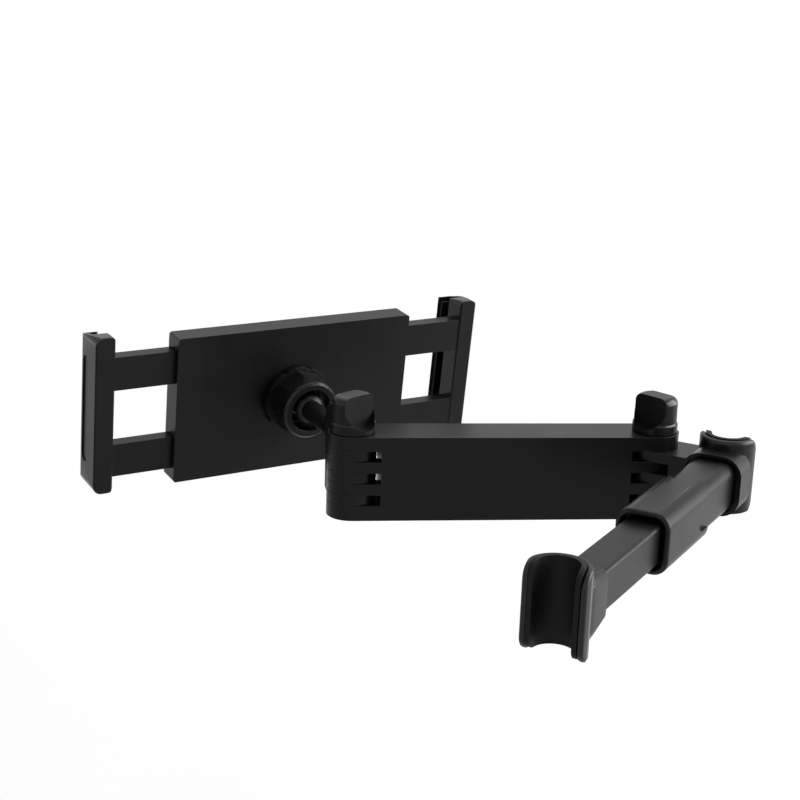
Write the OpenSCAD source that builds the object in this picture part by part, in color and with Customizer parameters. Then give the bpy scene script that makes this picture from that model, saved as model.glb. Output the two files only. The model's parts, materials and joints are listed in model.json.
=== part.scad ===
// Headrest tablet mount: a telescoping clamp bar goes between the two posts of a headrest.
// A swivelling arm, a link and a ball joint carry a sprung holder for a tablet.
// Millimetres, +Z up along the posts. The origin is on the axis of the far post, level with the bar.

/* [Clamp hooks] */
// Radius of the post that the rubber liners close on
post_r = 7.3; // [6:0.1:8]
// Thickness of the rubber liners
liner_t = 1.7; // [1.2:0.1:2.3]
// Height of the liners' rims above the hooks
liner_rise = 2; // [1:0.1:3]
// Wall of the hooks outside the liners
hook_wall = 2.3; // [2:0.1:3.5]
// Height of the hooks along the posts
hook_h = 29; // [28:0.5:36]
// Straight length of the hook walls past the half circle
hook_throat = 2; // [1.5:0.5:5]
// Distance between the two posts as shown
post_gap = 169; // [162:1:174]

/* [Clamp bar] */
// Width of the sliding bar
bar_w = 14; // [12:0.5:15]
// Height of the sliding bar
bar_h = 15.5; // [14:0.5:17]
// Corner round of the sliding bar
bar_round = 1.5; // [1:0.1:2.5]
// Wall of the hollow end of the sliding bar
bar_wall = 1.8; // [1.4:0.1:2.2]
// Running clearance of the bar in its sleeve, each side
slide_gap = 0.3; // [0.2:0.05:0.4]
// Wall of the sleeve
sleeve_wall = 2; // [1.6:0.1:2.4]
// Length of the sleeve outside its collar
sleeve_len = 76; // [70:1:80]
// Length of the thick mouth of the sleeve
mouth_len = 44; // [38:1:50]
// Extra wall at the sides of the sleeve's mouth
mouth_side = 1.2; // [0.8:0.1:1.6]
// Extra wall above and below the sleeve's mouth
mouth_top = 1.8; // [1.2:0.1:2.2]
// Width of the tongues that run from the tube into the sleeve's mouth
tongue_w = 11; // [9:0.5:12]
// Length of the tongues
tongue_len = 11; // [8:0.5:16]
// Length of the bar inside the sleeve as shown
bar_inside = 32; // [28:1:33]

/* [Hinges] */
// Radius of all hinge lugs and of the arm's round ends
lug_r = 10; // [9:0.1:11]
// Height of each of the five inner lugs
lug_t = 4.6; // [4:0.1:5]
// Height of the arm's top lugs
top_lug = 5.8; // [5:0.1:7]
// Height of the arm's bottom lugs
bottom_lug = 6.2; // [5.5:0.1:7]
// Running clearance above and below each lug
lug_gap = 0.15; // [0.1:0.05:0.25]
// Radius of the hinge bolts
bolt_r = 2.5; // [2:0.1:2.6]
// Running clearance round the bolts
bolt_gap = 0.1; // [0.05:0.01:0.2]
// Reach of the arm's slots past the hinge axes
slot_reach = 11.1; // [10.9:0.1:14]

/* [Arm and link] */
// Distance between the arm's two hinge axes
arm_len = 124; // [110:1:140]
// Height of the arm's top face above the axis of the clamp bar
arm_top = 15; // [13.5:0.1:16.5]
// Distance from the link's hinge axis to the centre of the ball
link_len = 51.4; // [49:0.1:56]
// Drop of the ball's centre below the arm's top face
ball_drop = 4.3; // [3.5:0.1:5]
// Radius of the ball
ball_r = 8; // [7.6:0.1:8.4]
// Radius of the ball's neck
neck_r = 4.5; // [4:0.1:4.6]

/* [Knobs] */
// Radius of the foot of the knobs
knob_r = 9.2; // [8.8:0.1:9.7]
// Height of the knobs
knob_h = 15.3; // [14:0.1:18]
// Thickness of the knobs' wings
wing_t = 7.6; // [7.2:0.1:9]

/* [Holder] */
// Width of the holder's housing
case_w = 111; // [108:1:118]
// Height of the holder's housing
case_h = 65; // [62:0.5:70]
// Depth of the holder's housing
case_d = 10; // [9.5:0.1:11]
// Wall of the holder's housing
case_wall = 2; // [1.8:0.1:2.2]
// Height of each sliding rail
rail_h = 14.5; // [13:0.1:15]
// Distance of the rails from the top and the bottom of the housing
rail_edge = 6; // [5:0.5:8]
// Distance from the middle of the holder to the windows' outer edges as shown
claw_at = 82; // [79:0.5:84]
// Height of the claws
claw_h = 69; // [64:1:74]
// Distance that the right claw stands further out than the left one
right_out = 2; // [0:0.5:4]
// Width across the inner sides of the claws' walls
bay_w = 176.5; // [175:0.5:182]
// Wall of the claws
claw_wall = 2.1; // [1.8:0.1:2.8]
// Depth of the bay for the tablet's edge
bay_d = 8.6; // [8:0.1:10]
// Thickness of the claws' rubber pads
pad_t = 1.2; // [1:0.1:1.6]

/* [Angles] */
// Turn of the clamp bar from the holder's width
bar_turn = 29.3; // [24:0.1:34]
// Turn of the arm from the holder's width, seen from its far hinge
arm_turn = 154.7; // [140:0.1:170]
// Turn of the link from the holder's width
link_turn = 83.2; // [75:0.1:92]
// Lean of the holder's top toward the arm
lean = 6.8; // [0:0.1:15]
// Turn of the left knob
left_knob_turn = 39; // [-90:1:90]
// Turn of the right knob
right_knob_turn = -52; // [-90:1:90]

/* [Hidden] */
$fn = 96;
eps = 0.01;

plastic = [0.055, 0.055, 0.06];
rubber = [0.035, 0.035, 0.037];
steel = [0.55, 0.56, 0.58];

// Hooks
seat_r = post_r + liner_t;
hook_r = seat_r + hook_wall;
hook_rise = 0.5;
hook_lip = 1;
collar_len = 7;
collar_at = -(hook_r + collar_len);
collar_round = 8;
screw_r = 1.5;
screw_head_r = 3;
screw_head_t = 1.2;
screw_bite = 6;
// Clamp bar: every length is counted from the collar's face toward the near hook
tube_w = bar_w + 2 * (slide_gap + sleeve_wall);
tube_h = bar_h + 2 * (slide_gap + sleeve_wall);
tube_round = bar_round + sleeve_wall + 1;
bore_round = bar_round + slide_gap;
rim_gap = 1.6;
collar_wall = 1.5;
collar_w = tube_w + 2 * (rim_gap + collar_wall);
collar_h = tube_h + 2 * (rim_gap + collar_wall) - 1.6;
mouth_w = tube_w + 2 * mouth_side;
mouth_h = tube_h + 2 * mouth_top;
mouth_round = tube_round + 1.5;
sleeve_root = -(hook_r + 0.1);
sleeve_end_wall = screw_bite;
mouth_at = collar_at - sleeve_len;
shoulder = 5;
lip_depth = 5;
lip_wall = 1.8;
near_x = -post_gap;
bar_start = near_x + hook_r + 0.1;
bar_end = mouth_at + bar_inside;
bar_bore_len = 46;
clamp_spring_r = 4.2;
boss_round = 4;
boss_len = 10.5;
boss_h = 24;
boss_w = bar_w + 5;
spring_seat = sleeve_root - sleeve_end_wall;
bar_bulkhead = bar_end - bar_bore_len;
// Hinges
arm_h = top_lug + 5 * lug_t + bottom_lug;
hinge = [collar_at + lug_r, 18.5 + lug_r];
web_gap = 0.5;
nut_r = 4.6;
nut_t = 4;
arm_axis = turned(hinge, bar_turn);
link_axis = arm_axis + arm_len * [cos(arm_turn), sin(arm_turn)];
ball = link_axis + link_len * [cos(link_turn), sin(link_turn)];
ball_z = arm_top - ball_drop;
// Knobs
knob_foot = 4.4;
knob_gap = 0.3;
bolt_head_r = bolt_r + 0.7;
bolt_head_h = 6;
// Link
web_in = lug_r + web_gap;
web_t = 7;
web_w = 15;
web_top = 7.5;
stud_r = 3.4;
stud_gap = 0.05;
flange_r = 7;
flange_t = 4;
neck_gap = 0.1;
// Holder: z counts from the tablet's back toward the arm
bay_at = 1.2;
case_at = 3;
pad_at = bay_at - pad_t;
case_top = case_at + case_d;
ball_o = case_top + 11;
back_t = 1.5;
case_round = 1.4;
rail_t = 5.8;
rail_at = case_at + back_t + 0.3;
rail_gap = 0.3;
rail_in = 21;
claw_rise = 1;
rail_y = (case_h - rail_h) / 2 - rail_edge;
rail_places = [-rail_y, rail_y];
rail_window = 2 * rail_y - rail_h;
bridge_t = 4;
claw_out = bay_w / 2 + claw_wall;
claw_top = rail_at + rail_t + 0.6;
claw_low = bay_at - bay_d - claw_wall;
lip_in = 5;
seat_gap = 0.3;
seat_wall = 0.9;
socket_r = ball_r + 2 * seat_gap + seat_wall;
socket_wall = 1.5;
collet_r = socket_r + socket_wall;
thread_gap = 0.3;
nut_lobe_r = collet_r + 4;
nut_ridge_r = collet_r + 2.8;
nut_front_r = 12.4;
nut_front = ball_o + 5.4;
nut_mouth_r = ball_r - 0.5;
nut_cup_r = 9.5;
case_spring_r = 2;
peg_r = 2;
case_screw_x = case_w / 2 - 7;
case_screw_y = rail_window / 2 - peg_r - 0.3;
case_screw_r = 1;
case_head_r = 2.2;
pad_w = case_w - 24;
pad_h = case_h - 14;
groove_pitch = 12;
grooves = floor(pad_w / groove_pitch - 0.5);
holder_bolts = [for (x = [-case_screw_x, case_screw_x]) for (y = [-case_screw_y, case_screw_y]) [x, y]];

function turned(p, a) = [p[0] * cos(a) - p[1] * sin(a), p[0] * sin(a) + p[1] * cos(a)];

// Rectangle about the origin with round corners
module round_rectangle(w, h, r) {
    square([w - 2 * r, h], center = true);
    square([w, h - 2 * r], center = true);
    for (x = [-1, 1]) {
        for (y = [-1, 1]) {
            translate([x * (w / 2 - r), y * (h / 2 - r)]) circle(r, $fn = 48);
        }
    }
}

// Extrusion along X from x0 to x1 of a profile drawn as width along Y and height along Z
module along_x(x0, x1) {
    translate([x0, 0, 0]) rotate([90, 0, 90]) linear_extrude(x1 - x0) children();
}

// Round bar along X from x0 to x1
module rod_x(r, x0, x1) {
    translate([x0, 0, 0]) rotate([0, 90, 0]) cylinder(r = r, h = x1 - x0);
}

// Round wire wound about the Z axis
function coil_ring(p, a, r, wire_r, sides) = [for (k = [0:sides - 1])
    [(r + wire_r * cos(k * 360 / sides)) * cos(a),
     (r + wire_r * cos(k * 360 / sides)) * sin(a),
     p + wire_r * sin(k * 360 / sides)]];

module coil(r, wire_r, len, turns) {
    sides = 6;
    per_turn = 12;
    rings = turns * per_turn;
    rise = (len - 2 * wire_r) / rings;
    points = [for (i = [0:rings]) each coil_ring(wire_r + i * rise, i * 360 / per_turn, r - wire_r, wire_r, sides)];
    first = [for (k = [0:sides - 1]) k];
    last = [for (k = [sides - 1:-1:0]) rings * sides + k];
    skin = [for (i = [0:rings - 1]) for (k = [0:sides - 1])
        [i * sides + k, (i + 1) * sides + k, (i + 1) * sides + (k + 1) % sides, i * sides + (k + 1) % sides]];
    polyhedron(points = points, faces = concat([first], skin, [last]), convexity = 10);
}

// Clamp frame: X runs from the near hook to the far hook, Y toward the arm's hinge
module in_clamp() {
    rotate([0, 0, bar_turn]) children();
}

// Arm frame: origin on the far hinge at the arm's top face, X toward the link
module in_arm() {
    translate([arm_axis[0], arm_axis[1], arm_top]) rotate([0, 0, arm_turn]) children();
}

// Link frame: origin on the link's hinge at the arm's top face, X toward the ball
module in_link() {
    translate([link_axis[0], link_axis[1], arm_top]) rotate([0, 0, link_turn]) children();
}

// Holder frame: X along its width, Y up, Z from the tablet toward the arm, with the ball at ball_o
module in_holder() {
    translate([ball[0], ball[1], ball_z]) rotate([90 + lean, 0, 0]) translate([0, 0, -ball_o]) children();
}

// Outline of a hook from above: round back at the origin and an open mouth toward +X
module hook_outline(r, mouth) {
    circle(r);
    translate([0, -r]) square([mouth, 2 * r]);
}

// Side view of a hook: upright walls with a large round at the top and a smaller one below
module hook_side(mouth, back, rise) {
    top_round = 5;
    low_round = 4;
    low = hook_rise - hook_h / 2;
    top = hook_rise + hook_h / 2 + rise;
    translate([-back, low]) square([back + mouth - top_round, top - low]);
    translate([-back, low + low_round]) square([back + mouth, top - low - top_round - low_round]);
    translate([mouth - top_round, top - top_round]) circle(top_round);
    translate([mouth - low_round, low + low_round]) circle(low_round);
    translate([mouth - top_round - eps, low]) square([top_round - low_round + eps, low_round + eps]);
}

// Trims what is drawn in a hook's frame to a side view of the given reach
module hook_trim(mouth, rise) {
    intersection() {
        children();
        rotate([90, 0, 0]) translate([0, 0, -2 * hook_r]) linear_extrude(4 * hook_r) hook_side(mouth, hook_r, rise);
    }
}

// Hook shell about the post axis, open toward +X
module hook_shell() {
    difference() {
        hook_trim(hook_throat, 0) {
            translate([0, 0, -hook_h]) linear_extrude(2 * hook_h) hook_outline(hook_r, hook_throat);
        }
        hook_channel();
    }
}

// Room for the liner and the post, through the hook and out of its mouth
module hook_channel() {
    translate([0, 0, -hook_h]) linear_extrude(2 * hook_h) hook_outline(seat_r, hook_throat + 1);
}

// Rubber liner: lines the channel and stands proud as a rim at the top and in front
module hook_liner() {
    difference() {
        hook_trim(hook_throat + hook_lip, liner_rise) {
            translate([0, 0, -hook_h]) linear_extrude(2 * hook_h) hook_outline(seat_r, hook_throat + hook_lip);
        }
        translate([0, 0, -hook_h - 1]) linear_extrude(2 * hook_h + 2) hook_outline(post_r, hook_throat + hook_lip + 1);
        // Seat of the screw's head in the back of the channel
        rod_x(screw_head_r + 0.2, -seat_r - 1, -seat_r + 0.4);
    }
}

// Hole for a hook's screw, with room for its flat head under the liner
module hook_screw_hole() {
    rod_x(screw_r + 0.1, -hook_r - 10, -seat_r + 1);
    rod_x(screw_head_r + 0.2, -seat_r - screw_head_t, -seat_r + 1);
}

// Flat-headed screw along X, head toward the channel
module hook_screw(length) {
    color(steel) {
        difference() {
            union() {
                rod_x(screw_head_r, -seat_r - screw_head_t, -seat_r);
                rod_x(screw_r, -seat_r - length, -seat_r - screw_head_t + eps);
            }
            for (a = [0, 90]) {
                rotate([a, 0, 0]) translate([-seat_r - 0.8, -2, -0.35]) cube([1, 4, 0.7]);
            }
        }
    }
}

// Far hook, its collar for the sleeve and the bracket with three lugs, one moulding
module far_hook() {
    color(plastic) in_clamp() difference() {
        union() {
            hook_shell();
            along_x(collar_at, -hook_r / 2) round_rectangle(collar_w, collar_h, collar_round);
            bracket();
        }
        hook_channel();
        along_x(collar_at - 1, sleeve_root) round_rectangle(tube_w + 0.2, tube_h + 0.2, tube_round);
        // Sunk ring round the tube
        along_x(collar_at - 1, collar_at + 2.4) {
            round_rectangle(tube_w + 2 * rim_gap, tube_h + 2 * rim_gap - 1, collar_round - collar_wall);
        }
        hook_screw_hole();
    }
}

// Block beside the far hook and the three lugs that stand between the arm's own lugs
module bracket() {
    lug_top = arm_top - top_lug;
    low = lug_top - 5 * lug_t;
    web_y = hinge[1] - lug_r - web_gap;
    translate([collar_at, 0, low + lug_gap]) cube([2 * lug_r, web_y, lug_top - low - 2 * lug_gap]);
    for (i = [0, 2, 4]) {
        difference() {
            translate([0, 0, low + i * lug_t + lug_gap]) linear_extrude(lug_t - 2 * lug_gap) {
                translate(hinge) circle(lug_r);
                translate([collar_at, 0]) square([2 * lug_r, hinge[1]]);
            }
            translate([hinge[0], hinge[1], low - 1]) cylinder(r = bolt_r + bolt_gap, h = 7 * lug_t);
        }
    }
}

module far_liner() {
    color(rubber) in_clamp() hook_liner();
}

module far_screw() {
    in_clamp() hook_screw(hook_wall + screw_bite);
}

// Sleeve: a tube from the collar, let into a thick mouth with a sunk lip by a tongue on each face
module clamp_sleeve() {
    color(plastic) in_clamp() difference() {
        union() {
            along_x(mouth_at, sleeve_root) round_rectangle(tube_w, tube_h, tube_round);
            difference() {
                along_x(mouth_at, mouth_at + mouth_len) round_rectangle(mouth_w, mouth_h, mouth_round);
                for (side = [-1, 1]) {
                    translate([mouth_at + mouth_len, 0, side * (tube_h + mouth_top) / 2 + side * mouth_top / 2])
                        linear_extrude(mouth_top, center = true) tongue();
                    translate([mouth_at + mouth_len, side * (tube_w + 2 * mouth_side) / 2, 0])
                        rotate([90, 0, 0]) linear_extrude(2 * mouth_side, center = true) tongue();
                }
            }
        }
        along_x(mouth_at - 1, spring_seat) {
            round_rectangle(bar_w + 2 * slide_gap, bar_h + 2 * slide_gap, bore_round);
        }
        along_x(mouth_at - 1, mouth_at + lip_depth) {
            round_rectangle(mouth_w - 2 * lip_wall, mouth_h - 2 * lip_wall, mouth_round - lip_wall);
        }
        rod_x(screw_r + 0.05, -hook_r - screw_bite - 0.5, 0);
    }
}

// Outline of a tongue, from the shoulder toward the mouth, with a round tip
module tongue() {
    translate([tongue_w / 2 - tongue_len, 0]) circle(tongue_w / 2);
    translate([tongue_w / 2 - tongue_len, -tongue_w / 2]) square([tongue_len, tongue_w]);
}

// Compression spring that pushes the bar and its hook outward
module clamp_spring() {
    color(steel) in_clamp() translate([spring_seat - 0.1, 0, 0]) rotate([0, -90, 0]) {
        coil(clamp_spring_r, 0.55, spring_seat - bar_bulkhead - 0.2, 14);
    }
}

module sliding_bar() {
    color(plastic) in_clamp() difference() {
        along_x(bar_start, bar_end) round_rectangle(bar_w, bar_h, bar_round);
        along_x(bar_bulkhead, bar_end + 1) {
            round_rectangle(bar_w - 2 * bar_wall, bar_h - 2 * bar_wall, bar_round / 2);
        }
        rod_x(screw_r + 0.05, bar_start - 1, bar_start + screw_bite + 1);
    }
}

// Near hook with the boss that takes the sliding bar
module near_hook() {
    socket = bar_start + boss_len;
    color(plastic) in_clamp() difference() {
        union() {
            translate([near_x, 0, 0]) rotate([0, 0, 180]) hook_shell();
            along_x(near_x, near_x + hook_r - 2) round_rectangle(boss_w, boss_h, boss_round);
            hull() {
                along_x(near_x + hook_r - 2, near_x + hook_r - 1.9) round_rectangle(boss_w, boss_h, boss_round);
                along_x(socket - 2, socket) round_rectangle(bar_w + 3.4, bar_h + 3.4, bar_round + 1.7);
            }
        }
        translate([near_x, 0, 0]) rotate([0, 0, 180]) hook_channel();
        along_x(bar_start - 0.1, socket + 1) round_rectangle(bar_w + 0.1, bar_h + 0.1, bar_round);
        translate([near_x, 0, 0]) rotate([0, 0, 180]) hook_screw_hole();
    }
}

module near_liner() {
    color(rubber) in_clamp() translate([near_x, 0, 0]) rotate([0, 0, 180]) hook_liner();
}

module near_screw() {
    in_clamp() translate([near_x, 0, 0]) rotate([0, 0, 180]) hook_screw(hook_wall + screw_bite);
}

// Arm: a beam with round ends, each end cut into four lugs
module arm() {
    color(plastic) in_arm() difference() {
        translate([0, 0, -arm_h]) linear_extrude(arm_h) {
            circle(lug_r);
            translate([arm_len, 0]) circle(lug_r);
            translate([0, -lug_r]) square([arm_len, 2 * lug_r]);
        }
        fork_cuts();
        translate([arm_len, 0, 0]) rotate([0, 0, 180]) {
            fork_cuts();
            // Upright groove behind the link that joins the slots
            translate([slot_reach - 1.4, lug_r - 14, -top_lug - 4 * lug_t]) cube([1.4, 15, 4 * lug_t]);
        }
    }
}

// What one end of the arm loses: three slots, the bolt's hole and the pocket of the nut
module fork_cuts() {
    for (i = [0, 2, 4]) {
        translate([-lug_r - 1, -lug_r - 1, -top_lug - (i + 1) * lug_t]) {
            cube([lug_r + 1 + slot_reach, 2 * lug_r + 2, lug_t]);
        }
    }
    translate([0, 0, -arm_h - 1]) cylinder(r = bolt_r + bolt_gap, h = arm_h + 2);
    translate([0, 0, -arm_h - 1]) cylinder(r = nut_r + 0.1, h = nut_t + 1.1, $fn = 6);
}

// Hexagon nut pressed into the pocket under a hinge
module hinge_nut() {
    color(steel) translate([0, 0, -arm_h]) difference() {
        cylinder(r = nut_r, h = nut_t, $fn = 6);
        translate([0, 0, -1]) cylinder(r = bolt_r + bolt_gap, h = nut_t + 2);
    }
}

module right_nut() {
    in_arm() hinge_nut();
}

module left_nut() {
    in_arm() translate([arm_len, 0, 0]) hinge_nut();
}

// Wing knob: a turned body with a round scoop on each side that runs down into its foot
module wing_knob() {
    top_round = 3;
    wing_r = knob_r - 0.5;
    scoop_at = 9.5;
    scoop_r = sqrt(wing_r * wing_r - wing_t * wing_t / 4);
    color(plastic) difference() {
        rotate_extrude() difference() {
            union() {
                translate([0, knob_gap]) square([knob_r, knob_foot - 0.6 - knob_gap]);
                polygon([[0, knob_foot - 0.6], [knob_r, knob_foot - 0.6], [wing_r, knob_foot], [0, knob_foot]]);
                translate([0, knob_foot - eps]) square([wing_r, knob_h - top_round - knob_foot + eps]);
                translate([0, knob_h - 2 * top_round]) square([wing_r - top_round, 2 * top_round]);
                translate([wing_r - top_round, knob_h - top_round]) circle(top_round);
            }
            translate([-knob_r, 0]) square([knob_r, 2 * knob_h]);
        }
        for (side = [0, 180]) {
            rotate([0, 0, side]) {
                translate([-knob_r - 1, wing_t / 2, scoop_at]) cube([2 * knob_r + 2, knob_r, knob_h]);
                translate([0, wing_t / 2 + knob_r, scoop_at]) rotate([90, 0, 0]) cylinder(r = scoop_r, h = knob_r);
            }
        }
        translate([0, 0, -1]) cylinder(r = bolt_head_r + 0.1, h = bolt_head_h + 1, $fn = 6);
    }
}

// Bolt of a hinge: a hexagon head inside the knob and a shank down through the nut
module hinge_bolt() {
    color(steel) {
        translate([0, 0, knob_gap]) cylinder(r = bolt_head_r, h = bolt_head_h - knob_gap - 0.1, $fn = 6);
        translate([0, 0, 0.3 - arm_h]) cylinder(r = bolt_r, h = arm_h + knob_gap);
    }
}

module right_knob() {
    in_arm() rotate([0, 0, right_knob_turn]) wing_knob();
}

module right_bolt() {
    in_arm() rotate([0, 0, right_knob_turn]) hinge_bolt();
}

module left_knob() {
    in_arm() translate([arm_len, 0, 0]) rotate([0, 0, left_knob_turn]) wing_knob();
}

module left_bolt() {
    in_arm() translate([arm_len, 0, 0]) rotate([0, 0, left_knob_turn]) hinge_bolt();
}

// Link: three lugs, a tall web behind them and the seat of the ball stud
module link() {
    low = -top_lug - 5 * lug_t;
    color(plastic) in_link() difference() {
        union() {
            for (i = [0, 2, 4]) {
                translate([0, 0, low + i * lug_t + lug_gap]) linear_extrude(lug_t - 2 * lug_gap) {
                    circle(lug_r);
                    translate([0, -web_w / 2]) square([web_in + 1, web_w]);
                }
            }
            translate([web_in, -web_w / 2, low + lug_gap]) cube([web_t, web_w, -low - lug_gap]);
            intersection() {
                translate([web_in, -web_w / 2, -1]) cube([web_t, web_w, web_top + 1]);
                translate([0, 0, web_top - web_w / 2]) rotate([0, 90, 0]) cylinder(r = web_w / 2 + 1.5, h = 40);
            }
            translate([0, 0, -ball_drop]) rod_x(flange_r, web_in + 1, web_in + web_t + flange_t);
        }
        translate([0, 0, -arm_h]) cylinder(r = bolt_r + bolt_gap, h = arm_h);
        translate([0, 0, -ball_drop]) rod_x(stud_r + stud_gap, web_in + 1.5, 40);
    }
}

// Ball with its neck and the shank that turns in the link
module ball_stud() {
    neck_at = web_in + web_t + flange_t + neck_gap;
    color(plastic) in_link() translate([0, 0, -ball_drop]) {
        translate([link_len, 0, 0]) sphere(ball_r);
        rod_x(neck_r, neck_at, link_len - 4);
        translate([neck_at, 0, 0]) rotate([0, 90, 0]) cylinder(r1 = flange_r - 0.6, r2 = neck_r, h = 12);
        rod_x(stud_r, web_in + 1.8, neck_at + 1);
    }
}

// Nylon cup between the ball's back and the socket
module ball_seat() {
    inner = ball_r + seat_gap;
    outer = inner + seat_wall;
    color([0.75, 0.74, 0.7]) in_holder() translate([0, 0, ball_o]) intersection() {
        difference() {
            sphere(outer);
            sphere(inner);
        }
        translate([0, 0, -outer - 1]) cylinder(r = outer + 1, h = outer + 1 - 5);
    }
}

// Front shell of the holder with end slots for the rails and the split socket of the ball
module holder_case() {
    color(plastic) in_holder() difference() {
        union() {
            translate([0, 0, case_at]) linear_extrude(case_d) round_rectangle(case_w, case_h, case_round);
            translate([0, 0, case_top - 1]) cylinder(r = collet_r, h = ball_o - case_top + 1);
            translate([0, 0, case_top - 0.5]) cylinder(r1 = collet_r + 2.5, r2 = collet_r, h = 1.2);
        }
        // Inside, closed again by the screw bosses below
        difference() {
            translate([0, 0, case_at - 1]) linear_extrude(case_d + 1 - case_wall) {
                round_rectangle(case_w - 2 * case_wall, case_h - 2 * case_wall, 1.5);
            }
            for (p = holder_bolts) {
                translate([p[0], p[1], case_at + back_t]) cylinder(r = peg_r, h = case_d);
            }
        }
        for (p = holder_bolts) {
            translate([p[0], p[1], case_at - 1]) cylinder(r = case_screw_r + 0.1, h = case_d - 1);
        }
        rail_slots();
        translate([0, 0, ball_o]) sphere(socket_r);
        for (a = [0:60:120]) {
            rotate([0, 0, a + 30]) translate([-collet_r - 1, -0.6, case_top + 3]) cube([2 * collet_r + 2, 1.2, 20]);
        }
    }
}

// Slots of the upper and lower rail through both end walls
module rail_slots() {
    length = 10;
    for (s = [-1, 1]) {
        for (y = rail_places) {
            translate([s * case_w / 2 - length / 2, y - rail_h / 2 - rail_gap, rail_at - rail_gap]) {
                cube([length, rail_h + 2 * rail_gap, rail_t + 2 * rail_gap]);
            }
        }
    }
}

module holder_back() {
    color(plastic) in_holder() difference() {
        translate([0, 0, case_at]) linear_extrude(back_t) {
            round_rectangle(case_w - 2 * case_wall - 0.2, case_h - 2 * case_wall - 0.2, 1.4);
        }
        for (p = holder_bolts) {
            translate([p[0], p[1], case_at - 1]) cylinder(r = case_screw_r + 0.6, h = back_t + 2);
            translate([p[0], p[1], case_at - 1]) cylinder(r = case_head_r + 0.1, h = 1.9);
        }
    }
}

module holder_pad() {
    color(rubber) in_holder() difference() {
        translate([0, 0, pad_at]) linear_extrude(case_at - pad_at) {
            round_rectangle(pad_w, pad_h, 5);
        }
        for (i = [-grooves / 2:grooves / 2]) {
            translate([i * groove_pitch - 1, 4 - pad_h / 2, pad_at - 1]) cube([2, pad_h - 8, 1.6]);
        }
    }
}

// Four screws that close the housing from the tablet's side
module case_screws() {
    color(steel) in_holder() for (p = holder_bolts) {
        translate([p[0], p[1], case_at]) difference() {
            union() {
                translate([0, 0, 0.1]) cylinder(r = case_head_r, h = 0.8);
                translate([0, 0, 0.5]) cylinder(r = case_screw_r, h = 6);
            }
            for (a = [0, 90]) {
                rotate([0, 0, a]) translate([-1.5, -0.3, -1]) cube([3, 0.6, 1.5]);
            }
        }
    }
}

// Compression spring between the left end wall of the housing and the bridge of a bracket
module holder_spring(out) {
    len = case_w / 2 - case_wall - rail_in - bridge_t - 0.4 - out;
    color(steel) translate([-case_w / 2 + case_wall + 0.2, 0, rail_at + rail_t / 2]) {
        rotate([0, 90, 0]) coil(case_spring_r, 0.4, len, 8);
    }
}

module left_spring() {
    in_holder() holder_spring(0);
}

module right_spring() {
    in_holder() rotate([0, 0, 180]) holder_spring(right_out);
}

// Nut that closes the socket on the ball: a low lobed flange and an eight-sided barrel
module lock_nut() {
    rear = case_top + 1.2;
    flange_top = rear + 2.6;
    lobes = 8;
    edge = 1;
    color(plastic) in_holder() difference() {
        union() {
            translate([0, 0, rear]) linear_extrude(flange_top - rear) difference() {
                circle(nut_lobe_r);
                for (i = [0:lobes - 1]) {
                    rotate([0, 0, i * 360 / lobes + 27]) translate([nut_lobe_r + 2.2, 0]) circle(3);
                }
            }
            intersection() {
                rotate([0, 0, 5]) translate([0, 0, rear + 1]) cylinder(r = nut_ridge_r, h = nut_front - rear, $fn = lobes);
                rotate_extrude() polygon([[0, rear], [nut_ridge_r + 0.4, rear], [nut_ridge_r + 0.4, flange_top],
                    [nut_front_r + 0.3, nut_front - edge], [nut_front_r - 0.6, nut_front], [0, nut_front]]);
            }
        }
        translate([0, 0, rear - 1]) cylinder(r = collet_r + thread_gap, h = ball_o - rear + 1);
        translate([0, 0, ball_o]) sphere(ball_r + seat_gap);
        translate([0, 0, ball_o - 1]) cylinder(r = nut_mouth_r, h = 10);
        // Cup round the mouth
        translate([0, 0, ball_o + 2.8]) cylinder(r1 = nut_mouth_r, r2 = nut_cup_r, h = 1.6);
        translate([0, 0, ball_o + 4.3]) cylinder(r = nut_cup_r, h = 4);
    }
}

// Bracket at the left: two rails, the bridge between them and the claw
module left_bracket() {
    color(plastic) in_holder() bracket_body();
}

module right_bracket() {
    color(plastic) in_holder() mirror([1, 0, 0]) translate([-right_out, 0, 0]) bracket_body();
}

module bracket_body() {
    for (y = rail_places) {
        translate([-claw_at - 1, y - rail_h / 2, rail_at]) cube([claw_at + 1 - rail_in, rail_h, rail_t]);
    }
    translate([-rail_in - bridge_t, -rail_window / 2 - 1, rail_at]) cube([bridge_t, rail_window + 2, rail_t]);
    // Upright bar, wall and lip of the claw, one channel section with round ends
    difference() {
        intersection() {
            rotate([90, 0, 0]) linear_extrude(2 * claw_h, center = true) claw_section();
            translate([-claw_out - 1, 0, 0]) rotate([90, 0, 90]) linear_extrude(claw_out) claw_side();
            translate([-claw_at, claw_rise, claw_low - 1]) linear_extrude(claw_top - claw_low + 2) claw_front();
        }
        // Long shallow recess in the outer wall
        translate([-claw_out - 1, claw_rise, -0.2]) rotate([90, 0, 90]) linear_extrude(1.6) {
            round_rectangle(claw_h - 22, 5.6, 2.7);
        }
    }
}

// Front view of a claw about its inner edge: small rounds inside and larger ones outside
module claw_front() {
    out = claw_out - claw_at;
    round_out = 3.5;
    round_in = 2;
    h = claw_h / 2;
    translate([-out, round_out - h]) square([out, claw_h - 2 * round_out]);
    translate([round_out - out, -h]) square([out - round_out - round_in, claw_h]);
    translate([-round_in, round_in - h]) square([claw_at, claw_h - 2 * round_in]);
    for (s = [-1, 1]) {
        translate([round_out - out, s * (h - round_out)]) circle(round_out);
        translate([-round_in, s * (h - round_in)]) circle(round_in);
    }
}

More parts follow.
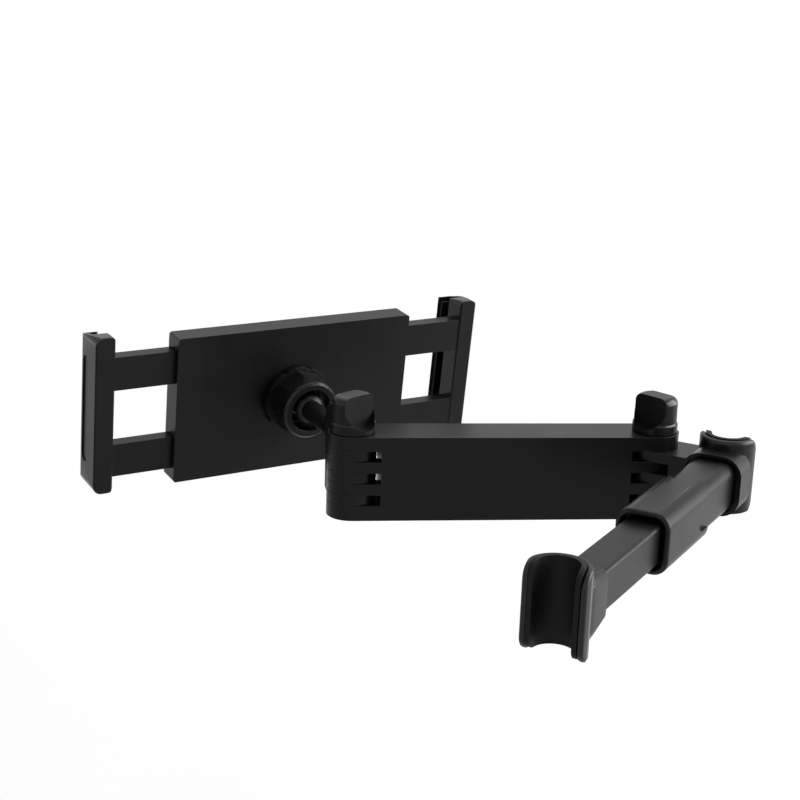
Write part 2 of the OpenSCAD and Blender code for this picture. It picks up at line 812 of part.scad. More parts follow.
// Side view of a claw, Y along its height: the ends slope in toward the tablet's side
module claw_side() {
    top = claw_rise + claw_h / 2;
    foot = claw_rise - claw_h / 2;
    polygon([[foot - 1, claw_top + 1], [foot, claw_top - 1], [foot + 1, -1], [foot + 5, claw_low - 1],
        [top - 5, claw_low - 1], [top - 2, -1], [top, claw_top - 1], [top + 1, claw_top + 1]]);
}

// Section across a claw: X outward to the left, Y toward the arm
module claw_section() {
    polygon([[-claw_at, rail_at], [-claw_at, claw_top - 0.6], [-claw_at - 0.6, claw_top],
        [-claw_out + 0.8, claw_top], [-claw_out, claw_top - 0.8], [-claw_out, claw_low + 5.5], [-claw_out + 2, claw_low],
        [-bay_w / 2 + lip_in, claw_low], [-bay_w / 2 + lip_in + 1, claw_low + 1], [-bay_w / 2 + lip_in, bay_at - bay_d],
        [-bay_w / 2, bay_at - bay_d], [-bay_w / 2, bay_at], [-claw_at, bay_at]]);
}

// Rubber pad that lines the left claw's channel
module claw_pad() {
    color(rubber) difference() {
        translate([0, claw_rise, 0]) rotate([90, 0, 0]) linear_extrude(claw_h - 12, center = true) {
            difference() {
                translate([-bay_w / 2, bay_at - bay_d]) square([lip_in, bay_d]);
                translate([-bay_w / 2 + pad_t, bay_at - bay_d + pad_t]) square([lip_in, bay_d - 2 * pad_t]);
            }
        }
        for (i = [-4:4]) {
            translate([-bay_w / 2 + pad_t - 0.4, i * 6 - 1, bay_at - bay_d]) cube([1, 2, bay_d]);
        }
    }
}

module left_claw_pad() {
    in_holder() claw_pad();
}

module right_claw_pad() {
    in_holder() mirror([1, 0, 0]) translate([-right_out, 0, 0]) claw_pad();
}

far_hook();
far_liner();
far_screw();
clamp_sleeve();
clamp_spring();
sliding_bar();
near_hook();
near_liner();
near_screw();
arm();
right_nut();
left_nut();
right_knob();
right_bolt();
left_knob();
left_bolt();
link();
ball_stud();
ball_seat();
holder_case();
holder_back();
holder_pad();
case_screws();
left_spring();
right_spring();
lock_nut();
left_bracket();
left_claw_pad();
right_bracket();
right_claw_pad();
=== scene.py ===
"""Headrest tablet mount: rounded mouldings, rubber, steel, springs, studio and camera.

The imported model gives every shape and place. The operators below soften its edges as a mould does,
finish each material and set up the studio. They are listed in the sidebar of the 3D view.
"""

import json
import math

import bpy
from mathutils import Matrix, Vector


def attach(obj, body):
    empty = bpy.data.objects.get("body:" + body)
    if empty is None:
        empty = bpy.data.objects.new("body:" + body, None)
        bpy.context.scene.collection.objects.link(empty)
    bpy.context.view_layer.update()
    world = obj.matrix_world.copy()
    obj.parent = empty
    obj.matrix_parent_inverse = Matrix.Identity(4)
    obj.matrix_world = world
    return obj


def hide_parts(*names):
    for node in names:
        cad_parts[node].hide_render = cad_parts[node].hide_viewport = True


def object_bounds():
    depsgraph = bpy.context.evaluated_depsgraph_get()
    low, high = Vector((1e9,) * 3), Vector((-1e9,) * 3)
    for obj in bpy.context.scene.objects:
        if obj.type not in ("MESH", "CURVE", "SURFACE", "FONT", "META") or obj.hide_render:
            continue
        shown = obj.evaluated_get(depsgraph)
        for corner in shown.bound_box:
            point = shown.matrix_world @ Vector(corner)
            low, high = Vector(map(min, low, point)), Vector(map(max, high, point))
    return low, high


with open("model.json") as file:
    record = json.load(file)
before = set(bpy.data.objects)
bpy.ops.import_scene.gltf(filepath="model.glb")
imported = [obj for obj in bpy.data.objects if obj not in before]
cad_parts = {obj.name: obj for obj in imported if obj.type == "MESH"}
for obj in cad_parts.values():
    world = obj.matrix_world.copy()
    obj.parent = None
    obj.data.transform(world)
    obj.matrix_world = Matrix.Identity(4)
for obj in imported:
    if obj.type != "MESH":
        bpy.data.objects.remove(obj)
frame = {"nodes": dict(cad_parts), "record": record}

bl_info = {
    "name": "Headrest tablet mount",
    "version": (1, 0, 0),
    "blender": (4, 5, 0),
    "location": "3D View > Sidebar > Mount",
    "description": "Rounds, finishes and lights the parts of a headrest tablet mount",
    "category": "Object",
}

CAD_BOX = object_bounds()

# Node, and radius of its rounded edges as a share of the setting
MOULDINGS = (
    ("far_hook", 1.0),
    ("clamp_sleeve", 1.0),
    ("sliding_bar", 0.6),
    ("near_hook", 1.0),
    ("arm", 0.4),
    ("right_knob", 1.2),
    ("left_knob", 1.2),
    ("link", 0.4),
    ("ball_stud", 0.5),
    ("holder_case", 0.8),
    ("holder_back", 0.5),
    ("lock_nut", 0.8),
    ("left_bracket", 0.8),
    ("right_bracket", 0.8),
)
RUBBERS = (
    ("far_liner", 0.6),
    ("near_liner", 0.6),
    ("holder_pad", 0.5),
    ("left_claw_pad", 0.4),
    ("right_claw_pad", 0.4),
)
STEELS = ("far_screw", "near_screw", "right_nut", "left_nut", "right_bolt", "left_bolt", "case_screws",
          "clamp_spring", "left_spring", "right_spring")

# Copies of CAD nodes: points closer than MERGE become one, and facets flatter than FLAT_ANGLE are joined
MERGE = 0.000004
FLAT_ANGLE = math.radians(0.6)
SHARP_ANGLE = math.radians(28.0)
SMOOTH_ANGLE = math.radians(35.0)
FACE_WEIGHT = 90
ROUND_SEGMENTS = 3
# A face narrower than this share of the round's radius belongs to the round
ROUND_FACE = 0.56

# Side view of the hooks' shells, in metres from the post's axis and from the bar's axis
HOOK_MOUTH = 0.002
HOOK_LOW = -0.014
HOOK_TOP = 0.015
HOOK_TOP_ROUND = 0.005
HOOK_LOW_ROUND = 0.004
# Section of the rubber's bead on them: distance from the channel's middle, and height over the edge
RIM_SECTION = [(0.001 * n, 0.001 * t) for n, t in (
    (9.02, 0.02), (9.02, 0.75), (9.25, 1.2), (9.6, 1.5), (10.1, 1.62), (10.6, 1.5), (11.0, 1.2), (11.22, 0.75),
    (11.28, 0.02))]
# Height of the bead on the front edges, as a share of its height on top
RIM_FRONT = 0.6
# Direction in degrees in which the bead starts on the lower round, and its steps on a round and along the back
RIM_START = -70
RIM_STEPS = 8
RIM_BACK_STEPS = 32
RIM_SMOOTH_ANGLE = math.radians(50.0)

# Outer edge of the sleeve's mouth: its round, the angle that finds its edges, and how far from the end they may lie
MOUTH_ROUND = 0.0014
MOUTH_SEGMENTS = 4
MOUTH_SHARP_ANGLE = math.radians(60.0)
MOUTH_DEPTH = 0.00002

# The link's web behind the arm's barrel: where it starts from the link's hinge, and the share of its width kept
WEB_START = 0.0104
WEB_SHARE = 0.6
# The root of the ball's neck: where it starts and ends from the link's hinge, and its largest radius
ROOT_START = 0.021
ROOT_END = 0.034
ROOT_RADIUS = 0.0046

# Noise in the finishes: cells per metre, detail and roughness. The plastic's grain takes its cells from the setting
PLASTIC_CLOUD = (38.0, 4.0, 0.55)
PLASTIC_GRAIN = (3.0, 0.6)
RUBBER_GRAIN = (4200.0, 3.0, 0.65)
RUBBER_BLOOM = (70.0, 5.0, 0.6)
STEEL_MARKS = (2600.0, 2.0, 0.5)
STEEL_STAIN = (300.0, 3.0, 0.55)
NYLON_CLOUD = (160.0, 3.0, 0.5)
NYLON_GRAIN = (3000.0, 2.0, 0.5)
# Depth of its relief in metres. The plastic's pits are given as shares of its grain's cells and depth
PITS_CELLS = 0.55
PITS_DEPTH = 0.6
RUBBER_DEPTH = 0.000012
STEEL_DEPTH = 0.000006
NYLON_DEPTH = 0.000008
# Shares of a finish's colour: where its noise is low, where it is high, and on an edge, where the plastic is lightened
# as a painted highlight
PLASTIC_TINTS = (0.72, 1.35, 2.1)
RUBBER_TINTS = (0.8, 1.8)
STEEL_TINT = 0.82
NYLON_TINT = 0.9
# How much of the painted highlight's colour shows on an edge
PAINTED_HIGHLIGHT_SHARE = 0.35
# Change of the roughness with the coarse noise, with the fine noise and on an edge
PLASTIC_CHANGE = (0.16, 0.10, 0.07)
RUBBER_CHANGE = (0.14, 0.12)
STEEL_CHANGE = (0.18, 0.06)
NYLON_CHANGE = 0.1
RUBBER_ROUGHNESS = 0.56
STEEL_ROUGHNESS = 0.30
NYLON_ROUGHNESS = 0.42
RUBBER_GLOSS = 0.14
# Weight of the coat on an edge, and its roughness
PLASTIC_COAT = (0.2, 0.22)
RUBBER_COAT = (0.25, 0.25)
# Middle of every noise
NOISE_MIDDLE = 0.5

# Name, place, target, side and power of each lamp
LAMPS = (
    ("overhead", (0.15, 0.55, 1.9), (-0.10, 0.05, 0.0), 2.4, 26.0),
    ("side", (1.25, -0.8, 0.45), (-0.08, 0.0, 0.0), 1.8, 80.0),
    ("front_fill", (-1.5, -1.1, 0.7), (-0.10, 0.0, 0.0), 1.6, 4.0),
)
FLOOR_SIZE = 12.0
# Distances between which the floor fades to white, and its share of white at each
FLOOR_FADE = (0.35, 1.1, 0.78, 1.0)
# Direction of the room's bright side, and how far from it the light falls off, as cosines
ROOM_BRIGHT_SIDE = (0.6, 0.75, -0.25)
ROOM_FADE = (0.3, 0.9)
WHITE = (1.0, 1.0, 1.0, 1.0)
SEEN_RAYS = ("Is Camera Ray", "Is Glossy Ray", "Is Transmission Ray")

# Camera of the photograph
CAMERA_PLACE = (-0.4357, -0.4501, 0.2029)
CAMERA_RIGHT = (0.8526, -0.5217, 0.0330)
CAMERA_AHEAD = (0.5081, 0.8120, -0.2874)
CAMERA_SENSOR = 36.0
CAMERA_LENS = 71.066
CAMERA_SHIFT = (-0.00836, 0.0210)
CAMERA_NEAR = 0.01


# ---------------------------------------------------------------- shader maths


class Wire:
    """One socket of a material. Arithmetic on it adds Math nodes."""

    def __init__(self, paint, socket):
        self.paint = paint
        self.socket = socket

    def maths(self, operation, *others):
        return self.paint.add("ShaderNodeMath", {"operation": operation}, [self, *others])

    def __add__(self, other):
        return self.maths("ADD", other)

    def __sub__(self, other):
        return self.maths("SUBTRACT", other)

    def __mul__(self, other):
        return self.maths("MULTIPLY", other)

    __radd__ = __add__
    __rmul__ = __mul__


class Paint:
    """A material or world under construction."""

    def __init__(self, owner):
        owner.use_nodes = True
        self.tree = owner.node_tree
        self.tree.nodes.clear()

    def add(self, kind, settings, sockets, out=0):
        """Adds a node, sets its settings first, then fills its sockets by name or order, and returns an output."""
        node = self.tree.nodes.new(kind)
        for name, value in settings.items():
            setattr(node, name, value)
        pairs = sockets.items() if isinstance(sockets, dict) else enumerate(sockets)
        for name, value in pairs:
            socket = node.inputs[name]
            if isinstance(value, Wire):
                self.tree.links.new(value.socket, socket)
            else:
                socket.default_value = value
        return Wire(self, node.outputs[out]) if node.outputs else None

    def place(self):
        return self.add("ShaderNodeTexCoord", {}, {}, "Object")

    def noise(self, scale, detail, roughness):
        return self.add("ShaderNodeTexNoise", {}, {"Vector": self.place(), "Scale": scale, "Detail": detail,
                                                   "Roughness": roughness}, "Fac")

    def cells(self, scale):
        return self.add("ShaderNodeTexVoronoi", {"feature": "F1"}, {"Vector": self.place(), "Scale": scale}, "Distance")

    def seen(self):
        """1 where the camera sees the surface, straight, in a reflection or through something clear."""
        path = self.tree.nodes.new("ShaderNodeLightPath")
        share = Wire(self, path.outputs[SEEN_RAYS[0]])
        for kind in SEEN_RAYS[1:]:
            share = share.maths("MAXIMUM", Wire(self, path.outputs[kind]))
        return share

    def between(self, share, low, high):
        """Colour that goes from low to high as share goes from 0 to 1."""
        return self.add("ShaderNodeMix", {"data_type": "RGBA"}, {0: share, 6: low, 7: high}, 2)

    def edge_mask(self):
        """1 on rounded edges and 0 elsewhere."""
        return self.add("ShaderNodeAttribute", {"attribute_name": "edge"}, {}, "Fac")

    def bump(self, height, distance, under=None):
        sockets = {"Strength": 1.0, "Distance": distance, "Height": height}
        if under is not None:
            sockets["Normal"] = under
        return self.add("ShaderNodeBump", {}, sockets, "Normal")

    def surface(self, **sockets):
        names = {name.replace("_", " "): value for name, value in sockets.items()}
        shader = self.add("ShaderNodeBsdfPrincipled", {}, names, "BSDF")
        self.add("ShaderNodeOutputMaterial", {}, {"Surface": shader})


def tint(colour, share=1.0):
    """The colour times the share, with alpha 1."""
    return (*(share * level for level in colour), 1.0)


def plastic_finish(settings, title):
    """Black moulded plastic: fine spark-eroded grain, a little smoother on its edges, where a painted highlight also
    lightens its colour.
    """
    material = bpy.data.materials.new(title)
    paint = Paint(material)
    grain = paint.noise(1.0 / settings.grain_size, *PLASTIC_GRAIN)
    cloud = paint.noise(*PLASTIC_CLOUD)
    pits = paint.cells(PITS_CELLS / settings.grain_size)
    edge = paint.edge_mask()
    # The third tint is a painted highlight, a lighter colour on the rounded edges
    dark, light, edge_highlight = (tint(settings.plastic_colour, share) for share in PLASTIC_TINTS)
    with_cloud, with_grain, on_edge = PLASTIC_CHANGE
    coat, coat_roughness = PLASTIC_COAT
    normal = paint.bump(pits, settings.grain_depth * PITS_DEPTH, paint.bump(grain, settings.grain_depth))
    paint.surface(
        # Base colour: a random cloud of tones, lightened on the rounded edges as a painted highlight
        Base_Color=paint.between(edge * PAINTED_HIGHLIGHT_SHARE, paint.between(cloud, dark, light), edge_highlight),
        Roughness=(settings.plastic_roughness + with_cloud * (cloud - NOISE_MIDDLE)
                   + with_grain * (grain - NOISE_MIDDLE) - on_edge * edge),
        Specular_IOR_Level=settings.plastic_gloss,
        Coat_Weight=coat * edge,
        Coat_Roughness=coat_roughness,
        Normal=normal,
    )
    return material


def rubber_finish(settings, title):
    """Soft black rubber with a faint bloom of dust in its surface."""
    material = bpy.data.materials.new(title)
    paint = Paint(material)
    fine = paint.noise(*RUBBER_GRAIN)
    bloom = paint.noise(*RUBBER_BLOOM)
    edge = paint.edge_mask()
    low, high = (tint(settings.rubber_colour, share) for share in RUBBER_TINTS)
    with_bloom, on_edge = RUBBER_CHANGE
    coat, coat_roughness = RUBBER_COAT
    paint.surface(
        Base_Color=paint.between(bloom, low, high),
        Roughness=RUBBER_ROUGHNESS + with_bloom * (bloom - NOISE_MIDDLE) - on_edge * edge,
        Specular_IOR_Level=RUBBER_GLOSS,
        Coat_Weight=coat * edge,
        Coat_Roughness=coat_roughness,
        Normal=paint.bump(fine, RUBBER_DEPTH),
    )
    return material


def steel_finish(settings, title):
    """Bright zinc-plated steel with fine turning marks."""
    material = bpy.data.materials.new(title)
    paint = Paint(material)
    marks = paint.noise(*STEEL_MARKS)
    stain = paint.noise(*STEEL_STAIN)
    with_stain, with_marks = STEEL_CHANGE
    paint.surface(
        Base_Color=paint.between(stain, tint(settings.steel_colour, STEEL_TINT), tint(settings.steel_colour)),
        Metallic=1.0,
        Roughness=STEEL_ROUGHNESS + with_stain * (stain - NOISE_MIDDLE) + with_marks * (marks - NOISE_MIDDLE),
        Normal=paint.bump(marks, STEEL_DEPTH),
    )
    return material


def nylon_finish(settings, title):
    """Natural nylon, slightly waxy."""
    material = bpy.data.materials.new(title)
    paint = Paint(material)
    cloud = paint.noise(*NYLON_CLOUD)
    paint.surface(
        Base_Color=paint.between(cloud, tint(settings.nylon_colour, NYLON_TINT), tint(settings.nylon_colour)),
        Roughness=NYLON_ROUGHNESS + NYLON_CHANGE * (cloud - NOISE_MIDDLE),
        Normal=paint.bump(paint.noise(*NYLON_GRAIN), NYLON_DEPTH),
    )
    return material


FINISHES = {
    "plastic": ("moulded_plastic_finish", plastic_finish),
    "rubber": ("rubber_finish", rubber_finish),
    "steel": ("steel_finish", steel_finish),
    "nylon": ("nylon_finish", nylon_finish),
}


def finish(name):
    """The material of that name, made the first time it is asked for."""
    title, make = FINISHES[name]
    return bpy.data.materials.get(title) or make(bpy.context.scene.mount, title)


# ---------------------------------------------------------------- modelling helpers


def select_only(piece):
    """Makes this the one selected and active object."""
    bpy.ops.object.select_all(action="DESELECT")
    piece.select_set(True)
    bpy.context.view_layer.objects.active = piece


def body_of(node):
    """The body that the record gives a node."""
    for body, nodes in frame["record"]["behaviour"]["bodies"].items():
        if node in nodes:
            return body
    raise RuntimeError(node + " is in no body")


def note_edges(piece, narrow):
    """Writes an attribute on the faces, 1 on those narrower than this, which are the rounded edges."""
    mesh = piece.data
    places = [vertex.co for vertex in mesh.vertices]
    flags = []
    for face in mesh.polygons:
        around = sum((places[a] - places[b]).length for a, b in face.edge_keys)
        flags.append(1.0 if 2.0 * face.area < narrow * around else 0.0)
    layer = mesh.attributes.new("edge", "FLOAT", "FACE")
    layer.data.foreach_set("value", flags)


def rounded(node, width, finish_name):
    """Copies a CAD node, joins its facets and rounds its sharp edges, as a mould leaves them."""
    source = frame["nodes"][node]
    piece = bpy.data.objects.new(node + "_moulded", source.data.copy())
    bpy.context.scene.collection.objects.link(piece)
    slim(piece.data, node)
    select_only(piece)
    bpy.ops.object.mode_set(mode="EDIT")
    bpy.ops.mesh.select_mode(type="EDGE")
    bpy.ops.mesh.select_all(action="SELECT")
    bpy.ops.mesh.remove_doubles(threshold=MERGE)
    bpy.ops.mesh.select_all(action="SELECT")
    bpy.ops.mesh.dissolve_limited(angle_limit=FLAT_ANGLE)
    if node == "clamp_sleeve":
        round_mouth(piece)
    bpy.ops.mesh.select_all(action="DESELECT")
    bpy.ops.mesh.edges_select_sharp(sharpness=SHARP_ANGLE)
    bpy.ops.mesh.bevel(offset=width, offset_type="OFFSET", segments=ROUND_SEGMENTS, profile=0.5, clamp_overlap=True)
    bpy.ops.object.mode_set(mode="OBJECT")
    note_edges(piece, ROUND_FACE * width)
    even_shading(piece)
    dress(piece, finish_name)
    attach(piece, body_of(node))
    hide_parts(node)


def round_mouth(piece):
    """Gives the outer edge of the sleeve's mouth its large round. The piece is in edit mode before and after."""
    bpy.ops.mesh.select_all(action="DESELECT")
    bpy.ops.mesh.edges_select_sharp(sharpness=MOUTH_SHARP_ANGLE)
    bpy.ops.object.mode_set(mode="OBJECT")
    mesh = piece.data
    turn = bpy.context.scene.mount.bar_turn
    along = Vector((-math.cos(turn), -math.sin(turn), 0.0))
    reach = [vertex.co.dot(along) for vertex in mesh.vertices]
    end = max(reach) - MOUTH_DEPTH
    rim_edges = [edge for edge in mesh.edges if edge.select and min(reach[k] for k in edge.vertices) > end]
    near = {}
    for edge in rim_edges:
        for k in edge.vertices:
            near.setdefault(k, []).append(edge)
    outer = {max(near, key=lambda k: (mesh.vertices[k].co - along * reach[k]).length)}
    waiting = list(outer)
    while waiting:
        for edge in near[waiting.pop()]:
            for k in edge.vertices:
                if k not in outer:
                    outer.add(k)
                    waiting.append(k)
    for edge in mesh.edges:
        edge.select = edge in rim_edges and edge.vertices[0] in outer
    for vertex in mesh.vertices:
        vertex.select = vertex.index in outer
    for face in mesh.polygons:
        face.select = False
    bpy.ops.object.mode_set(mode="EDIT")
    bpy.ops.mesh.bevel(
        offset=MOUTH_ROUND, offset_type="OFFSET", segments=MOUTH_SEGMENTS, profile=0.5, clamp_overlap=True)
    # A fresh start of edit mode keeps the order of the faces the same in every run
    bpy.ops.object.mode_set(mode="OBJECT")
    bpy.ops.object.mode_set(mode="EDIT")


def slim(mesh, node):
    """Narrows the link's web and the root of the ball's neck, which the arm's barrel hides from the front."""
    if node not in ("link", "ball_stud"):
        return
    places = {joint["name"]: Vector(joint["pos_m"]) for joint in frame["record"]["behaviour"]["joints"]}
    hinge, ball = places["link_swivel"], places["ball_pan"]
    along = Vector((ball.x - hinge.x, ball.y - hinge.y, 0.0)).normalized()
    across = Vector((-along.y, along.x, 0.0))
    for vertex in mesh.vertices:
        reach = (vertex.co - hinge).dot(along)
        if node == "link" and reach > WEB_START:
            vertex.co -= across * (vertex.co - hinge).dot(across) * (1.0 - WEB_SHARE)
        if node == "ball_stud" and ROOT_START < reach < ROOT_END:
            middle = Vector((hinge.x, hinge.y, ball.z)) + along * reach
            radius = (vertex.co - middle).length
            if radius > ROOT_RADIUS:
                vertex.co = middle + (vertex.co - middle) * (ROOT_RADIUS / radius)


def even_shading(piece):
    """Smooth shading that stays level on the large faces."""
    select_only(piece)
    bpy.ops.object.shade_smooth_by_angle(angle=SMOOTH_ANGLE)
    level = piece.modifiers.new("level", "WEIGHTED_NORMAL")
    level.mode = "FACE_AREA"
    level.weight = FACE_WEIGHT
    level.keep_sharp = True
    bpy.ops.object.modifier_apply(modifier=level.name)


def dress(piece, finish_name):
    """Gives the whole piece one finish."""
    piece.data.materials.clear()
    piece.data.materials.append(finish(finish_name))


# ---------------------------------------------------------------- settings


class MountSettings(bpy.types.PropertyGroup):
    """Sizes and colours that a user would change."""

    bar_turn: bpy.props.FloatProperty(
        name="Bar turn", description="Turn of the clamp bar", default=math.radians(29.3), subtype="ANGLE")
    post_gap: bpy.props.FloatProperty(
        name="Post gap", description="Distance between the two posts", default=0.169, unit="LENGTH")
    edge_round: bpy.props.FloatProperty(
        name="Edge round", description="Radius of the mouldings' rounded edges", default=0.0005, unit="LENGTH")
    grain_size: bpy.props.FloatProperty(
        name="Grain size", description="Size of the grain in the moulded plastic", default=0.00032, unit="LENGTH")
    grain_depth: bpy.props.FloatProperty(
        name="Grain depth", description="Depth of the grain in the moulded plastic", default=0.00001, unit="LENGTH")
    plastic_colour: bpy.props.FloatVectorProperty(
        name="Plastic", description="Colour of the mouldings", default=(0.0058, 0.0058, 0.0062), subtype="COLOR")
    plastic_roughness: bpy.props.FloatProperty(
        name="Plastic roughness", description="Roughness of the mouldings", default=0.32, min=0.0, max=1.0)
    plastic_gloss: bpy.props.FloatProperty(
        name="Plastic gloss", description="Strength of the mouldings' reflections", default=0.13, min=0.0, max=1.0)
    rubber_colour: bpy.props.FloatVectorProperty(
        name="Rubber", description="Colour of the liners and pads", default=(0.003, 0.003, 0.0032), subtype="COLOR")
    steel_colour: bpy.props.FloatVectorProperty(
        name="Steel", description="Colour of screws, bolts, nuts and springs", default=(0.62, 0.63, 0.65),
        subtype="COLOR")
    nylon_colour: bpy.props.FloatVectorProperty(
        name="Nylon", description="Colour of the ball's seat", default=(0.66, 0.65, 0.6), subtype="COLOR")
    room_dim: bpy.props.FloatProperty(
        name="Dim side", description="Light of the room on the camera's side", default=0.07, min=0.0)
    room_bright: bpy.props.FloatProperty(
        name="Bright side", description="Light of the room behind and above the mount", default=0.42, min=0.0)
    floor_drop: bpy.props.FloatProperty(
        name="Floor drop", description="Distance of the floor below the mount", default=0.14, unit="LENGTH")
    floor_bounce: bpy.props.FloatProperty(
        name="Floor bounce", description="Share of its light that the floor gives back to the mount", default=0.4,
        min=0.0, max=1.0)
    floor_colour: bpy.props.FloatVectorProperty(
        name="Floor", description="Colour of the floor and the room", default=(0.93, 0.93, 0.93), subtype="COLOR")


# ---------------------------------------------------------------- operators


class MOUNT_OT_mouldings(bpy.types.Operator):
    """Round and finish every plastic moulding of the clamp, the arm and the holder"""

    bl_idname = "mount.mouldings"
    bl_label = "Mouldings"

    def execute(self, context):
        for node, share in MOULDINGS:
            rounded(node, context.scene.mount.edge_round * share, "plastic")
        return {"FINISHED"}


class MOUNT_OT_rubber(bpy.types.Operator):
    """Round and finish the hooks' liners and the pads that touch the tablet"""

    bl_idname = "mount.rubber"
    bl_label = "Rubber liners and pads"

    def execute(self, context):
        for node, share in RUBBERS:
            rounded(node, context.scene.mount.edge_round * share, "rubber")
        return {"FINISHED"}


class MOUNT_OT_rims(bpy.types.Operator):
    """Fold the hooks' rubber over the upper and front edges of their shells"""

    bl_idname = "mount.rims"
    bl_label = "Rubber rims of the hooks"

    def execute(self, context):
        settings = context.scene.mount
        bar = Matrix.Rotation(settings.bar_turn, 4, "Z")
        rim("far_rim", "clamp", bar)
        turned_hook = Matrix.Translation((-settings.post_gap, 0.0, 0.0)) @ Matrix.Rotation(math.pi, 4, "Z")
        rim("near_rim", "bar", bar @ turned_hook)
        return {"FINISHED"}


def rim_ring(x, z, lean, side):
    """The bead's section at one place of a wall's edge. Behind the post's axis the wall follows the round back."""
    ring = []
    share = RIM_FRONT + (1.0 - RIM_FRONT) * max(math.sin(lean), 0.0)
    for n, t in RIM_SECTION:
        along = x + share * t * math.cos(lean)
        ring.append((along, side * math.sqrt(n * n - min(along, 0.0) ** 2), z + share * t * math.sin(lean)))
    return ring


def rim(name, body, place):
    """A bead along the edge of a hook's shell, from one foot of its mouth over the round back to the other."""
    # Lower round, front edge and upper round of one wall, as place in the side view and direction outward
    edge = []
    for first, last, height, size in ((RIM_START, 0, HOOK_LOW + HOOK_LOW_ROUND, HOOK_LOW_ROUND),
                                      (0, 90, HOOK_TOP - HOOK_TOP_ROUND, HOOK_TOP_ROUND)):
        for step in range(RIM_STEPS + 1):
            lean = math.radians(first + (last - first) * step / RIM_STEPS)
            edge.append((HOOK_MOUTH - size + size * math.cos(lean), height + size * math.sin(lean), lean))
    rings = [rim_ring(x, z, lean, 1.0) for x, z, lean in edge]
    for step in range(1, RIM_BACK_STEPS):
        ring = []
        for n, t in RIM_SECTION:
            lead = math.asin((HOOK_TOP_ROUND - HOOK_MOUTH) / n)
            turn = math.radians(90.0) + lead + (math.pi - 2.0 * lead) * step / RIM_BACK_STEPS
            ring.append((n * math.cos(turn), n * math.sin(turn), HOOK_TOP + t))
        rings.append(ring)
    rings += [rim_ring(x, z, lean, -1.0) for x, z, lean in reversed(edge)]
    count = len(RIM_SECTION)
    faces = [(a * count + k, a * count + (k + 1) % count, (a + 1) * count + (k + 1) % count, (a + 1) * count + k)
             for a in range(len(rings) - 1) for k in range(count)]
    faces += [tuple(range(count))[::-1], tuple(range((len(rings) - 1) * count, len(rings) * count))]
    mesh = bpy.data.meshes.new(name)
    mesh.from_pydata([point for ring in rings for point in ring], [], faces)
    piece = bpy.data.objects.new(name, mesh)
    bpy.context.scene.collection.objects.link(piece)
    mesh.transform(place)
    select_only(piece)
    bpy.ops.object.mode_set(mode="EDIT")
    bpy.ops.mesh.select_all(action="SELECT")
    bpy.ops.mesh.normals_make_consistent(inside=False)
    bpy.ops.object.mode_set(mode="OBJECT")
    # Every face of the bead counts as an edge
    note_edges(piece, math.inf)
    bpy.ops.object.shade_smooth_by_angle(angle=RIM_SMOOTH_ANGLE)
    dress(piece, "rubber")
    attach(piece, body)


class MOUNT_OT_fasteners(bpy.types.Operator):
    """Finish the screws, bolts, nuts, springs and the ball's nylon seat"""

    bl_idname = "mount.fasteners"
    bl_label = "Screws, bolts, springs and seat"

    def execute(self, context):
        for node in STEELS:
            for place in frame["nodes"][node].material_slots:
                place.material = finish("steel")
        for place in frame["nodes"]["ball_seat"].material_slots:
            place.material = finish("nylon")
        return {"FINISHED"}


class MOUNT_OT_studio(bpy.types.Operator):
    """Lay the pale floor, hang the soft lights and set up the camera"""

    bl_idname = "mount.studio"
    bl_label = "Studio"

    def execute(self, context):
        floor(context.scene.mount)
        room(context.scene)
        for lamp in LAMPS:
            soft_light(*lamp)
        camera(context.scene)
        return {"FINISHED"}


def floor(settings):
    """A pale floor that fades to white with distance."""
    bpy.ops.object.select_all(action="DESELECT")
    low = CAD_BOX[0].z - settings.floor_drop
    bpy.ops.mesh.primitive_plane_add(size=FLOOR_SIZE, location=(0.0, 0.0, low))
    plane = bpy.context.object
    plane.name = "studio_floor"
    bpy.ops.object.transform_apply(location=True, rotation=True, scale=True)
    material = bpy.data.materials.new("floor_finish")
    paint = Paint(material)
    seen = paint.seen()
    # The floor gives back less light to the mount than the camera sees of it
    shown = paint.between(seen, tint(settings.floor_colour, settings.floor_bounce), tint(settings.floor_colour))
    matt = paint.add("ShaderNodeBsdfDiffuse", {}, {"Color": shown}, "BSDF")
    white = paint.add("ShaderNodeEmission", {}, {"Color": WHITE, "Strength": 1.0}, "Emission")
    away = paint.add("ShaderNodeVectorMath", {"operation": "LENGTH"}, [paint.place()], "Value")
    fade = paint.add("ShaderNodeMapRange", {"interpolation_type": "SMOOTHSTEP"}, [away, *FLOOR_FADE], "Result")
    both = paint.add("ShaderNodeMixShader", {}, {0: seen * fade, 1: matt, 2: white}, "Shader")
    paint.add("ShaderNodeOutputMaterial", {}, {"Surface": both})
    plane.data.materials.append(material)


def room(scene):
    """A room that is bright behind and above the mount, and dimmer on the camera's side."""
    world = bpy.data.worlds.new("studio_room")
    paint = Paint(world)
    way = paint.add("ShaderNodeTexCoord", {}, {}, "Generated")
    toward = paint.add("ShaderNodeVectorMath", {"operation": "DOT_PRODUCT"}, [way, ROOM_BRIGHT_SIDE], "Value")
    level = paint.add("ShaderNodeMapRange", {"interpolation_type": "SMOOTHSTEP"},
                      [toward, *ROOM_FADE, scene.mount.room_dim, scene.mount.room_bright], "Result")
    light = paint.add("ShaderNodeBackground", {}, {"Color": WHITE, "Strength": level}, "Background")
    backdrop = paint.add("ShaderNodeBackground", {}, {"Color": WHITE, "Strength": 1.0}, "Background")
    both = paint.add("ShaderNodeMixShader", {}, {0: paint.seen(), 1: light, 2: backdrop}, "Shader")
    paint.add("ShaderNodeOutputWorld", {}, {"Surface": both})
    scene.world = world


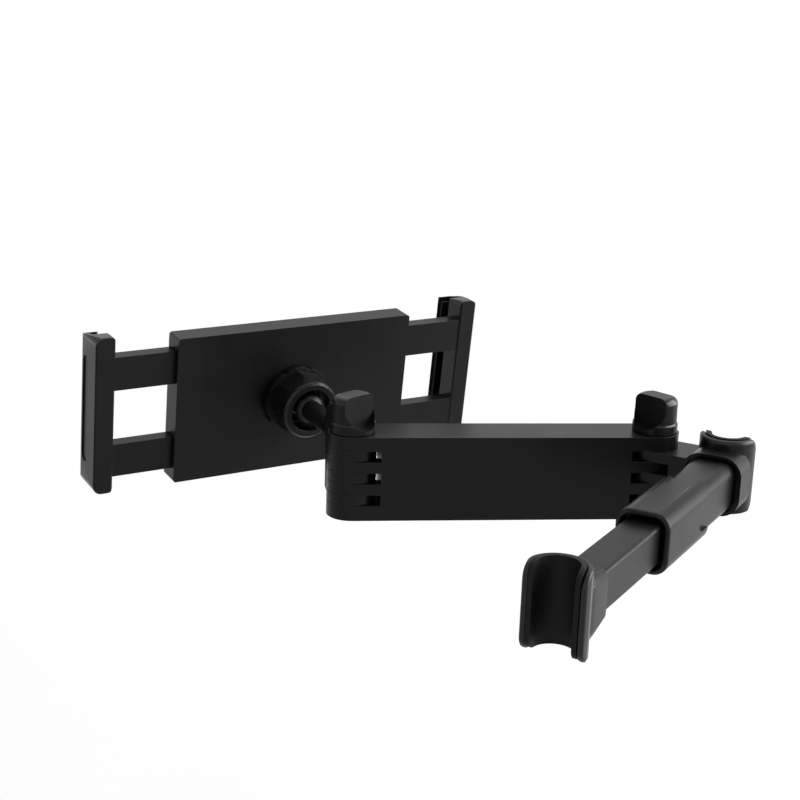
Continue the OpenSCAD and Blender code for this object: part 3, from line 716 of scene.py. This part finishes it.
def soft_light(name, place, target, size, power):
    """A square lamp that points at its target."""
    lamp = bpy.data.lights.new(name, "AREA")
    lamp.shape = "SQUARE"
    lamp.size = size
    lamp.energy = power
    made = bpy.data.objects.new(name, lamp)
    bpy.context.scene.collection.objects.link(made)
    made.location = place
    made.rotation_euler = (Vector(target) - Vector(place)).to_track_quat("-Z", "Y").to_euler()


def camera(scene):
    """The camera of the photograph. Its directions are made square to each other before use."""
    lens = bpy.data.cameras.new("photo_camera")
    lens.sensor_width = CAMERA_SENSOR
    lens.lens = CAMERA_LENS
    lens.shift_x, lens.shift_y = CAMERA_SHIFT
    lens.clip_start = CAMERA_NEAR
    made = bpy.data.objects.new("photo_camera", lens)
    scene.collection.objects.link(made)
    right = Vector(CAMERA_RIGHT).normalized()
    ahead = Vector(CAMERA_AHEAD).normalized()
    up = right.cross(ahead).normalized()
    right = ahead.cross(up).normalized()
    turn = Matrix((right, up, -ahead)).transposed().to_4x4()
    made.matrix_world = Matrix.Translation(CAMERA_PLACE) @ turn
    scene.camera = made


class MOUNT_PT_panel(bpy.types.Panel):
    """Lists the steps and the settings of the mount"""

    bl_idname = "MOUNT_PT_panel"
    bl_label = "Headrest tablet mount"
    bl_space_type = "VIEW_3D"
    bl_region_type = "UI"
    bl_category = "Mount"

    def draw(self, context):
        for step in STEPS:
            self.layout.operator(step.bl_idname)
        for name in MountSettings.__annotations__:
            self.layout.prop(context.scene.mount, name)


STEPS = (MOUNT_OT_mouldings, MOUNT_OT_rubber, MOUNT_OT_rims, MOUNT_OT_fasteners, MOUNT_OT_studio)
CLASSES = (MountSettings, *STEPS, MOUNT_PT_panel)


def register():
    for item in CLASSES:
        bpy.utils.register_class(item)
    bpy.types.Scene.mount = bpy.props.PointerProperty(type=MountSettings)


def unregister():
    del bpy.types.Scene.mount
    for item in reversed(CLASSES):
        bpy.utils.unregister_class(item)


def main():
    register()
    bpy.context.scene.view_settings.view_transform = "Standard"
    bpy.ops.mount.mouldings()
    bpy.ops.mount.rubber()
    bpy.ops.mount.rims()
    bpy.ops.mount.fasteners()
    bpy.ops.mount.studio()


if __name__ == "__main__":
    main()
